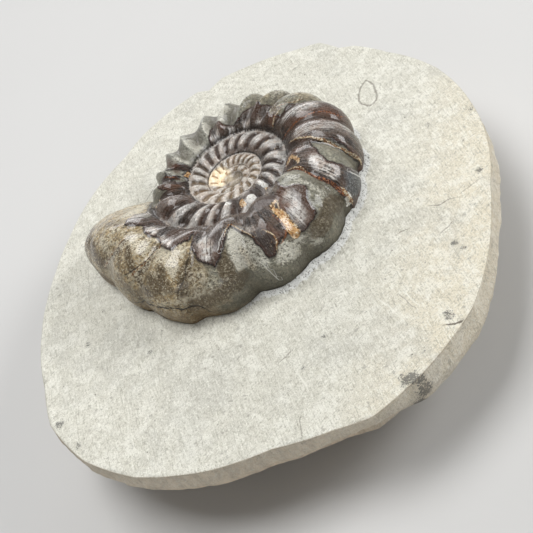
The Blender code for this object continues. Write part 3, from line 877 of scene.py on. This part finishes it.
def stone_material(finish):
    """Pale fine-grained limestone, tooled flat round the fossil, sawn and darker down its sides, the
    lower parts of them with painted shade.
    """
    g = Graph("limestone")
    at = g.place()
    side, dirt, rim, warm, around, down, shade = (
        g.read(name) for name in ("side", "dirt", "rim", "warm", "around", "down", "shade"))
    broad = g.speckle(at, 0.07, 4.0, 0.55)
    blotch = g.speckle(at, 0.35, 5.0, 0.62)
    fine = g.speckle(at, 1.9, 4.0, 0.80)
    grain = g.speckle(at, 4.0, 1.0, 0.6)
    flecks = g.speckle(at, 0.95, 5.0, 0.76)
    crisp = fine * 0.6 + grain * 0.4
    scratch = g.streaks(at, 1.45, (2.2, 0.26, 2.0))
    scrape = g.streaks(at, 0.35, (1.6, 0.22, 2.0))
    saw = g.speckle(g.vector(around * 0.8, down * 0.30, broad * 3.0), 1.0, 5.0, 0.74)
    dots = g.cells(at, 0.42).step(0.085, 0.045) * flecks.step(0.50, 0.54)
    wall = g.paint(finish.stone_side,
                   (saw.step(0.42, 0.62) * 0.6, Tint.sawn),
                   (crisp.step(0.50, 0.60) * 0.45, finish.stone))
    # the sides' colour: blotchy, laid on more thickly further down as painted shade, less where the
    # stone is warm
    weathered_and_shaded = (0.35 + blotch * 0.5 + down.step(2.0, 6.0) * 0.3).held() * (1.0 - warm * 0.6)
    powder = (rim * 1.3 + (crisp - 0.5) * 2.4).step(0.40, 0.70)
    smear = (dirt + (blotch - 0.5) * 2.0 + (crisp - 0.5) * 4.5).step(0.35, 0.80)
    colour = g.paint(
        g.mix(warm * (0.5 + broad), finish.stone, finish.stone_warm),
        (broad.step(0.50, 0.62) * 0.50, Tint.stone_grey),
        (blotch.step(0.48, 0.60) * 0.40, finish.stone_pale),
        (crisp.step(0.48, 0.38) * 0.62, finish.stone_fleck),
        (crisp.step(0.52, 0.62) * 0.68, finish.stone_pale),
        (scratch.step(0.57, 0.65) * 0.65, finish.stone_pale),
        (scratch.step(0.43, 0.35) * 0.55, finish.stone_fleck),
        (scrape.step(0.43, 0.35) * 0.55, finish.stone_fleck),
        (flecks.step(0.59, 0.64) * 0.60, Tint.speck),
        (dots * 0.75, Tint.dot),
        (side * weathered_and_shaded, wall),
        (side.step(0.05, 0.45) * side.step(1.0, 0.8) * 0.55, Tint.arris),
        (shade, Tint.pocket),
        (powder * 0.8, Tint.powder),
        (rim.step(0.15, 0.7) * crisp.step(0.49, 0.40) * 0.8, Tint.contact),
        (smear * dirt.step(0.02, 0.3) * 0.80, Tint.smear))
    for kind, ink in (("mark", Tint.mark), ("scratch", finish.stone_pale)):
        near = g.read(kind + "_side").size() + (fine - 0.5) * 2.6
        colour = g.mix(g.read(kind) * near.step(1.2, 0.5), colour, ink)
    normal = g.bump(fine * 0.7 + grain * 0.3 + flecks * 0.6, 0.00022, 0.85)
    normal = g.bump(scratch * 0.7 + scrape * 0.5 + saw * side * 2.0, 0.00020, 0.6, normal)
    return g.finish({"Base Color": colour, "Roughness": 0.86 + (fine - 0.5) * 0.2,
                     "Normal": normal, "Specular IOR Level": 0.35})


def number(name, description, default, low=0.0, **settings):
    return bpy.props.FloatProperty(name=name, description=description, default=default, min=low,
                                   **settings)


def length(name, description, default):
    return number(name, description, default, precision=5, subtype="DISTANCE", unit="LENGTH")


def factor(name, description, default):
    return number(name, description, default, max=1.0, precision=4, subtype="FACTOR")


def swatch(name, description, default):
    return bpy.props.FloatVectorProperty(name=name, description=description, default=default,
                                         size=3, min=0.0, max=1.0, subtype="COLOR")


def count(name, description, default, low, high):
    return bpy.props.IntProperty(name=name, description=description, default=default, min=low,
                                 max=high)


class FossilSizes(bpy.types.PropertyGroup):
    """Sizes of the coiled fossil."""
    coil_radius: length("Coil radius", "Radius of the tube's centreline at the mouth", 0.0210)
    growth: factor("Growth", "Natural-log growth of the tube per radian of coil", 0.0924)
    last_flare: factor("Last flare", "Extra growth per radian over the last whorl", 0.0197)
    half_width: factor("Half width", "Half-width of the tube as a share of its radius", 0.381)
    half_height: factor("Half height", "Half-height of the tube as a share of its radius", 0.374)
    rib_depth: factor("Rib depth", "Groove depth as a share of the tube's radius", 0.075)
    whorls: number("Whorls", "Turns of the coil", 4.2, 2.5, max=4.4)
    shell: length("Shell", "Thickness of the shell that is left on the mould", 0.00030)
    rows: count("Rows", "Rows of faces in one turn", 420, 120, 600)
    across: count("Across", "Faces across the tube", 42, 12, 60)


class FossilFinish(bpy.types.PropertyGroup):
    """Colours of the fossil."""
    mould_green: swatch("Green mould", "Grey-green stone of the older part", (0.225, 0.222, 0.172))
    mould_tan: swatch("Tan mould", "Tan stone of the body chamber", (0.525, 0.385, 0.195))
    mould_pale: swatch("Pale mould", "Worn, pale places on the stone", (0.850, 0.775, 0.575))
    mould_dark: swatch("Dark mould", "Dark specks and hollows of the stone", (0.070, 0.054, 0.032))
    # darker stone low down towards the rock: its own browner colour with painted shade under the bulge
    # of the coil
    low_mould_and_shade: swatch("Low mould", "Stone near the rock", (0.085, 0.074, 0.048))
    shell_dark: swatch("Dark shell", "Darkest parts of the shell", (0.020, 0.013, 0.009))
    shell_grey: swatch("Grey shell", "Purple-grey parts of the shell", (0.104, 0.068, 0.047))
    shell_brown: swatch("Brown shell", "Reddish-brown parts of the shell", (0.092, 0.044, 0.025))
    # painted highlight over pearly shell: colour of the pale crests of the inner ribs and of the sheen
    # streaks
    pearl_and_highlight_colour: swatch("Pearl", "Silvery crests of the inner ribs", (0.715, 0.685, 0.640))
    rim_rust: swatch("Broken edge", "Reddish-brown broken edge of the shell", (0.065, 0.022, 0.010))
    honey: swatch("Honey", "Crystalline middle of the coil", (0.930, 0.790, 0.560))
    amber: swatch("Amber", "Golden-brown crystal", (0.620, 0.360, 0.140))
    calcite: swatch("Calcite", "White crystal", (0.930, 0.915, 0.870))


class SlabSizes(bpy.types.PropertyGroup):
    """Sizes of the slab."""
    top: length("Upper face", "Height of the slab's upper face", 0.0160)
    gap: length("Gap", "Clearance round the fossil", 0.0003)
    wall: length("Wall", "Height of the near-upright edge", 0.0063)
    bulge: length("Bulge", "How far the edge swells below the face", 0.0009)
    lip: length("Lip", "How high the rock stands against the fossil on its right", 0.0017)
    bevel: length("Arris", "Broken arris along the upper edge", 0.0003)
    base_share: factor("Base", "Size of the flat below as a share of the outline", 0.64)
    rough: length("Roughness", "Height of the tool marks and pits", 0.00012)


class SlabFinish(bpy.types.PropertyGroup):
    """Colours of the slab."""
    stone: swatch("Stone", "Main colour of the limestone", (0.625, 0.612, 0.535))
    stone_warm: swatch("Warm stone", "Warmer patches", (0.690, 0.635, 0.505))
    stone_pale: swatch("Pale stone", "Tooled and scratched places", (0.830, 0.822, 0.745))
    stone_fleck: swatch("Flecks", "Darker grains", (0.350, 0.335, 0.275))
    # browner weathered sides, laid on more thickly lower down as painted shade
    stone_side: swatch("Sides", "Weathered sides and underside", (0.680, 0.560, 0.415))


class StageSizes(bpy.types.PropertyGroup):
    """Floor, light and camera."""
    floor: swatch("Floor", "Colour of the floor", (0.560, 0.557, 0.548))
    lens: number("Lens", "Focal length in mm", 64.22, 10.0)
    key: number("Key light", "Power of the large soft light in watts", 2.6)
    back: number("Back light", "Power of the light from behind in watts", 3.0)
    side: number("Side light", "Power of the light from the right in watts", 3.0)
    front: number("Front light", "Power of the low light in front in watts", 0.9)
    sky: number("Surround", "Strength of the even surround", 0.15)


class FOSSIL_OT_ammonite(bpy.types.Operator):
    """Adds the coiled, ribbed fossil with the scraps of shell on it"""
    bl_idname = "fossil.ammonite"
    bl_label = "Ammonite"

    def execute(self, context):
        sizes = context.scene.fossil_sizes
        coil = Coil(sizes)
        n, across = sizes.rows, sizes.across
        one_turn = turn_rows(n)
        last = int(n * sizes.whorls)
        row = np.arange(last + 1)
        t = one_turn[row % n] + TURN * (row // n)
        # each row runs from the seam with the whorl inside it out to the next whorl's seam
        start = coil.seam_angle(t)
        seam_r, seam_z = coil.surface(t, start, 0.0)
        seam_r[0], seam_z[0] = coil.outer_edge(t[:1] + TURN)[0], 0.0
        end = np.zeros_like(t)
        end[n:] = coil.angle_at(t[n:], seam_r[:-n])
        column = np.linspace(0.0, 1.0, across + 1)
        psi = start[:, None] + (end - start)[:, None] * column
        tt = np.repeat(t[:, None], across + 1, 1)
        fade = np.minimum(1.0, column / 0.2) * np.ones_like(tt)
        fade[n:] = np.minimum(fade[n:], (1 - column) / 0.14)
        r, z = coil.surface(tt, psi, fade)
        spots = place(tt, r, z).reshape(-1, 3)
        top_values = self.values(coil, tt, column * np.ones_like(tt), spots, psi, fade)
        r, z = coil.surface(tt, psi, fade, self.relief(sizes, tt, spots, top_values, fade))
        r[:, 0], z[:, 0] = seam_r, seam_z
        r[n:, across], z[n:, across] = seam_r[:-n], seam_z[:-n]
        r[0], z[0] = seam_r[0], seam_z[0]
        top = sheet("ammonite_top", across, last, place(tt, r, z))
        self.store(top, top_values)

        # the flank below the outermost line, then the buried side down to its foot
        bowl = Bowl(coil, one_turn, r[:n, across])
        drop = np.linspace(0.0, 1.0, 9)
        rings = [bowl.ring(bowl.level * d) for d in drop]
        rings += [bowl.ring(bowl.level + 0.12, 0.2), *bowl.lower(), *bowl.floor()]
        rings.append((np.zeros(n), np.full(n, BOWL_BOTTOM)))
        ring_r, ring_z = np.array(rings).transpose(1, 0, 2)
        around = np.append(np.arange(n), 0)
        tt = np.repeat(one_turn[None, around], len(rings), 0)
        flank = place(tt, ring_r[:, around], ring_z[:, around])
        share = np.concatenate([1 + 0.25 * drop, np.full(len(rings) - len(drop), 1.3)])
        share = np.repeat(share[:, None], n + 1, 1)
        flank_values = self.values(coil, tt, share, flank.reshape(-1, 3), 0.0, 1.0)
        skirt = sheet("ammonite_flank", n, len(rings) - 1, flank)
        self.store(skirt, flank_values)

        whole = join([top, skirt], "fossil_ammonite")
        weld()
        whole.data.materials.append(fossil_material(context.scene.fossil_finish))
        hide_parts("ammonite")
        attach(whole, "root")
        return {"FINISHED"}

    def values(self, coil, t, share, spots, psi, fade):
        """The numbers that the material reads, at each point of a sheet."""
        degrees, share = np.degrees(t).reshape(-1), share.reshape(-1)
        groove = coil.rib(t, RIB_LEAN * np.cos(psi)) * along(RIB_STRENGTH, np.degrees(t)) * fade
        groove = groove.reshape(-1)
        flat = coil.flat(degrees, share)
        # the ragged edges of the shell wander a little
        wander = np.stack([cloud(spots, 0.0016, 3, shift) for shift in (3.1, 17.7)], -1) * RAGGED
        found = {"turn": degrees, "share": share, "groove": groove,
                 "shell": coil.shell_depth(flat + wander, degrees)}
        found["tan"] = 1 - smooth(58, 96, degrees)
        found["tan"] += 0.32 * smooth(192, 206, degrees) * (1 - smooth(236, 262, degrees))
        # pale crests of the inner whorls: painted highlight over pearly shell
        found["pearl"] = smooth(362, 400, degrees)
        found["pearl"] *= 1 - smooth(0.03, 0.44 + 0.2 * smooth(440, 520, degrees), groove)
        found.update(patch_masks(flat + wander * 0.8, coil.lay))
        found.update(line_values(flat + wander * 0.5, LINES, coil.lay))
        return found

    def relief(self, sizes, t, spots, values, fade):
        """How far the skin stands up: the shell, crusts and golden lines, less the cracks."""
        degrees = values["turn"]
        outer_whorl = 1 - smooth(330, LAST_WHORL_END, degrees)
        raised = (smooth(-0.14, 0.14, values["shell"]) - 0.5) * sizes.shell
        lumpy = cloud(spots, 0.0034, 3, 5.0) * 0.00020 * (1 - smooth(90, 150, degrees))
        lumpy += cloud(spots, 0.0011, 3, 9.0) * 0.00004 * outer_whorl
        lumpy += values["crust"] * (0.00012 + cloud(spots, 0.0013, 2, 41.0) * 0.00008)
        lumpy -= line_body(values, "crack", 0.6, 2.0) * CRACK_DEPTH
        lumpy += line_body(values, "gilt", 0.6, 2.2) * GILT_HEIGHT
        return (raised * outer_whorl + lumpy).reshape(t.shape) * np.minimum(1.0, fade * 1.4)

    def store(self, piece, values):
        """Puts the numbers on the sheet, with the honey-coloured middle of the coil and its eye."""
        spots = np.empty(len(piece.data.vertices) * 3, np.float32)
        piece.data.vertices.foreach_get("co", spots)
        x, y, _ = (spots.reshape(-1, 3).astype(float) - COIL_MIDDLE).T
        away = np.hypot(x + 0.0019, y - 0.0018)
        honey = smooth(960, 1010, values["turn"]) * (1 - smooth(0.0014, 0.0027, away))
        eye = 1 - smooth(0.0011, 0.0022, np.hypot(x, y))
        put_values(piece, {**values, "honey": honey, "eye": eye})


class FOSSIL_OT_slab(bpy.types.Operator):
    """Adds the slab of limestone that carries the fossil"""
    bl_idname = "fossil.slab"
    bl_label = "Slab"

    def execute(self, context):
        sizes, fossil = context.scene.slab_sizes, context.scene.fossil_sizes
        coil = Coil(fossil)
        pocket_t = turn_rows(fossil.rows)
        rim = coil.surface(pocket_t, np.zeros_like(pocket_t), 1.0)[0]
        rim[0] = coil.outer_edge(pocket_t[:1] + TURN)[0]
        # evenly spread directions about the coil's middle
        t = np.radians(-MOUTH_REACH + np.arange(SLAB_COLUMNS) * 360.0 / SLAB_COLUMNS)
        bowl = Bowl(coil, t, np.interp(t, pocket_t, rim))
        gap = sizes.gap
        rows = [place(t, 0.0, POCKET_BOTTOM)]
        rows += [place(t, radius, height - gap * 1.2) for radius, height in reversed(bowl.floor())]
        for (radius, height), (out, down) in zip(reversed(bowl.lower()), ((0.8, 0.9), (1.3, 0.5))):
            rows.append(place(t, radius + gap * out, height - gap * down))
        face_start = len(rows)

        # the rock stands up a little where it meets the fossil, most on the right
        a = MOUTH_ANGLE + t
        way = np.stack([np.cos(a), np.sin(a)], -1)
        lip = along(LIP, np.degrees(t)) * sizes.lip
        lip *= 1 + 0.35 * cloud(np.column_stack([way, a * 0]) * 0.022, 0.0022, 3, 31.0)
        reach = bowl.rim * bowl.ratio
        mouth = bowl.rim - reach + reach * np.sqrt(1 - ((SUNK - lip) / bowl.high) ** 2) - gap * 0.2
        edge = way * self.outline(a)[:, None]
        middle = SLAB_MIDDLE - COIL_MIDDLE[:2]
        out = edge - middle
        out /= np.linalg.norm(out, axis=1)[:, None]

        def ring(xy, height):
            rows.append(np.column_stack([xy, height * np.ones(SLAB_COLUMNS)]) + COIL_MIDDLE)

        start = way * mouth[:, None]
        for k in range(FACE_ROWS):
            share = (k / (FACE_ROWS - 1.0)) ** 1.2
            ring(start + (edge - out * sizes.bevel - start) * share, -SUNK)
        face_end = len(rows)
        # down the edge: how far each row is set back, and how far below the face it lies
        cut = along(EDGE_CUT, np.degrees(np.arctan2(out[:, 1], out[:, 0]))) * 0.001
        bevel, wall = sizes.bevel, sizes.wall
        profile = [(bevel * 0.55, bevel * 0.10), (bevel * 0.15, bevel * 0.45), (-0.0002, bevel)]
        for u in np.arange(1, 13) / 12:
            swell = (cut / 2 - sizes.bulge) * (1 - abs(2 * u - 1)) + (cut + 0.0001) * max(2 * u - 1, 0)
            profile.append((swell - 0.0002 * max(1 - 2 * u, 0), bevel + (wall - bevel) * u))
        for u in np.arange(1, 7) / 6:
            profile.append(((cut + 0.0001) * (1 - u) + (cut / 2 + 0.0030) * u,
                            wall + (FOOT_DROP - wall) * u))
        for back, drop in profile:
            ring(edge - out * np.reshape(back * np.ones(SLAB_COLUMNS), (-1, 1)), -SUNK - drop)
        # in under the slab to the flat that it lies on
        flat = -sizes.top - SUNK
        toe = TOE_HEIGHT - sizes.top - SUNK
        for steps, spans, heights in ((7, (0.93, 0.80), (-SUNK - FOOT_DROP, toe)),
                                      (6, (0.80, sizes.base_share), (toe, flat))):
            for u in np.linspace(0, 1, steps)[1:]:
                ring(middle + (edge - middle) * ((1 - u) * spans[0] + u * spans[1]),
                     (1 - u) * heights[0] + u * heights[1])
        for u in (0.66, 0.33, 0.0):
            ring(middle + (edge - middle) * sizes.base_share * u, flat)
        spots = np.array(rows)
        shape = spots.shape[:2]
        spots = spots.reshape(-1, 3)

        # zones: the face, the sides and what is below them
        index = np.repeat(np.arange(shape[0])[:, None], SLAB_COLUMNS, 1).reshape(-1)
        face = (index >= face_start) & (index < face_end)
        side = index >= face_end + 2
        base = index >= shape[0] - 4
        away = np.hypot(spots[:, 0] - COIL_MIDDLE[0], spots[:, 1] - COIL_MIDDLE[1])
        from_fossil = np.where(face, away - np.tile(mouth, shape[0]), np.where(side, 0.03, 0.0))
        right = np.tile(along(LIP, np.degrees(t)), shape[0])
        # tool marks and pits over the face, and crumbs where it meets the fossil
        xy = spots[:, :2] * 1000
        lift = cloud(spots, 0.0042, 3, 2.0) * sizes.rough * 1.1
        lift += cloud(spots, 0.0011, 3, 8.0) * sizes.rough * 0.55
        turned = spots @ np.array(((0.62, 0.78, 0), (-0.78, 0.62, 0), (0, 0, 1)))
        lift += cloud(turned * np.array((0.30, 2.2, 1.0)), 0.0016, 2, 4.0) * sizes.rough * 0.5
        crumb = smooth(0.0, 0.0006, from_fossil) * (1 - smooth(0.0007, 0.0024, from_fossil))
        lift += crumb * (0.1 + right) * cloud(spots, 0.0010, 3, 31.0) * 0.00030
        marks = line_values(xy + cloud(spots, 0.002, 2, 6.0)[:, None] * 0.25, SLAB_LINES, numbers)
        lift -= line_body(marks, "mark", 0.5, 1.8) * MARK_DEPTH
        lift = np.where(face, lift, 0.0)
        lift[face] *= smooth(0.0, 0.0004, from_fossil[face])
        rise = np.tile(lip, shape[0]) * (1 - smooth(-0.0004, 0.0022, from_fossil)) * face
        spots[:, 2] += np.minimum(lift, 0.0004) + rise
        # the broken sides
        broken = cloud(spots, 0.008, 3, 12.0) * 0.00028 + cloud(spots, 0.0017, 3, 22.0) * 0.00014
        broken = np.where(side & ~base, broken - ROUGH_SIDES, 0.0)
        outward = spots[:, :2] - SLAB_MIDDLE
        outward /= np.maximum(np.linalg.norm(outward, axis=1), 1e-9)[:, None]
        spots[:, :2] += outward * broken[:, None]

        def wrapped(values):
            """Rows of points or numbers with the first column again at the end."""
            values = np.asarray(values, float).reshape(*shape, -1)
            return np.concatenate([values, values[:, :1]], axis=1)

        slab = sheet("slab_skin", SLAB_COLUMNS, shape[0] - 1, wrapped(spots))
        marks = {name: np.where(face, found, 0.0) if name in SLAB_LINES else found
                 for name, found in marks.items()}
        values = {
            "side": smooth(face_end, face_end + 2, index),
            "rim": np.where(face, (1 - smooth(0.0003, 0.0015, from_fossil)) * right, 0.0),
            "shade": (index < face_start) * 0.8,
            "around": np.arctan2(outward[:, 1], outward[:, 0]) * 45,
            "down": np.where(side, sizes.top - spots[:, 2], 0.0) * 1000,
            "warm": smooth(20, 40, xy @ np.array((0.75, -0.66))),
            "dirt": np.max([
                strength * (1 - smooth(size * 0.3, size * 1.3, np.hypot(xy[:, 0] - x, xy[:, 1] - y)))
                for x, y, size, strength in SMUDGES], axis=0),
            **marks}
        put_values(slab, {name: wrapped(found) for name, found in values.items()})
        slab.name = "fossil_matrix"
        slab.data.name = "fossil_matrix"
        weld()
        bpy.ops.object.shade_smooth_by_angle(angle=math.radians(38))
        slab.data.materials.append(stone_material(context.scene.slab_finish))
        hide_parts("matrix")
        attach(slab, "root")
        return {"FINISHED"}

    def outline(self, a):
        """Radius of the slab's outline about the coil's middle, in each direction."""
        table = []
        offset = COIL_MIDDLE[:2] - SLAB_MIDDLE
        for degrees, radius in SLAB_OUTLINE:
            b = math.radians(degrees)
            x = radius * 0.001 * math.cos(b) - offset[0]
            y = radius * 0.001 * math.sin(b) - offset[1]
            table.append((math.atan2(y, x), math.hypot(x, y)))
        table.sort()
        (first, first_radius), (last, last_radius) = table[0], table[-1]
        table = [(last - TURN, last_radius), *table, (first + TURN, first_radius)]
        return along(table, np.arctan2(np.sin(a), np.cos(a)))


class FOSSIL_OT_stage(bpy.types.Operator):
    """Adds the pale floor, the soft lights and the camera"""
    bl_idname = "fossil.stage"
    bl_label = "Stage"

    def execute(self, context):
        stage = context.scene.stage_sizes
        clear_selection()
        bpy.ops.mesh.primitive_plane_add(size=3.0, location=(0.0, 0.0, -0.0002))
        floor = context.object
        floor.name = "stage_floor"
        bpy.ops.object.transform_apply(location=True, rotation=True, scale=True)
        g = Graph("pale_floor")
        haze = g.speckle(g.place(), 0.02, 2.0)
        shaded = [c * 0.96 for c in stage.floor]
        floor.data.materials.append(g.finish({
            "Base Color": g.mix(haze.step(0.3, 0.7) * 0.2, stage.floor, shaded), "Roughness": 0.85}))

        elevation, roll = math.radians(VIEW_ELEVATION), math.radians(VIEW_ROLL)
        right = Vector((1, 0, 0))
        back = Vector((0, -math.cos(elevation), math.sin(elevation)))
        up = Vector((0, math.sin(elevation), math.cos(elevation)))
        x, y, far = VIEW_SHIFT
        spot = Vector(COIL_MIDDLE) + VIEW_UNIT * (x * right + y * up + far * back)
        across = math.cos(roll) * right + math.sin(roll) * up
        upward = -math.sin(roll) * right + math.cos(roll) * up
        bpy.ops.object.camera_add(location=spot)
        camera = context.object
        camera.name = "photo_camera"
        turn = Matrix((across, upward, back)).transposed()
        camera.matrix_world = Matrix.Translation(spot) @ turn.to_4x4()
        camera.data.lens = stage.lens
        camera.data.sensor_width = 36.0
        camera.data.clip_start = 0.01
        context.scene.camera = camera
        context.scene.view_settings.view_transform = "Standard"

        # large rectangular lights that face the fossil
        for name, way, far, size in LAMPS:
            way = Vector(way)
            bpy.ops.object.light_add(type="AREA", location=LAMP_AIM + way.normalized() * far)
            lamp = context.object
            lamp.name = name + "_light"
            lamp.data.shape = "RECTANGLE"
            lamp.data.size, lamp.data.size_y = size
            lamp.data.energy = getattr(stage, name)
            lamp.rotation_euler = way.to_track_quat("Z", "Y").to_euler()
        world = bpy.data.worlds.new("plain_surround")
        world.use_nodes = True
        surround = world.node_tree.nodes["Background"].inputs
        surround["Color"].default_value = (1.0, 1.0, 1.0, 1.0)
        surround["Strength"].default_value = stage.sky
        context.scene.world = world
        return {"FINISHED"}


class FOSSIL_PT_panel(bpy.types.Panel):
    """Lists the pieces of the fossil and their settings"""
    bl_label = "Ammonite fossil"
    bl_idname = "FOSSIL_PT_panel"
    bl_space_type = "VIEW_3D"
    bl_region_type = "UI"
    bl_category = "Fossil"

    def draw(self, context):
        for operator, groups in ((FOSSIL_OT_ammonite, ("fossil_sizes", "fossil_finish")),
                                 (FOSSIL_OT_slab, ("slab_sizes", "slab_finish")),
                                 (FOSSIL_OT_stage, ("stage_sizes",))):
            box = self.layout.box()
            box.operator(operator.bl_idname)
            for group in groups:
                settings = getattr(context.scene, group)
                for name in settings.__annotations__:
                    box.prop(settings, name)


GROUPS = (("fossil_sizes", FossilSizes), ("fossil_finish", FossilFinish), ("slab_sizes", SlabSizes),
          ("slab_finish", SlabFinish), ("stage_sizes", StageSizes))
CLASSES = (FOSSIL_OT_ammonite, FOSSIL_OT_slab, FOSSIL_OT_stage, FOSSIL_PT_panel)


def register():
    for name, group in GROUPS:
        bpy.utils.register_class(group)
        setattr(bpy.types.Scene, name, bpy.props.PointerProperty(type=group))
    for one in CLASSES:
        bpy.utils.register_class(one)


def unregister():
    for one in reversed(CLASSES):
        bpy.utils.unregister_class(one)
    for name, group in reversed(GROUPS):
        delattr(bpy.types.Scene, name)
        bpy.utils.unregister_class(group)


def main():
    register()
    bpy.ops.fossil.ammonite()
    bpy.ops.fossil.slab()
    bpy.ops.fossil.stage()


if __name__ == "__main__":
    main()
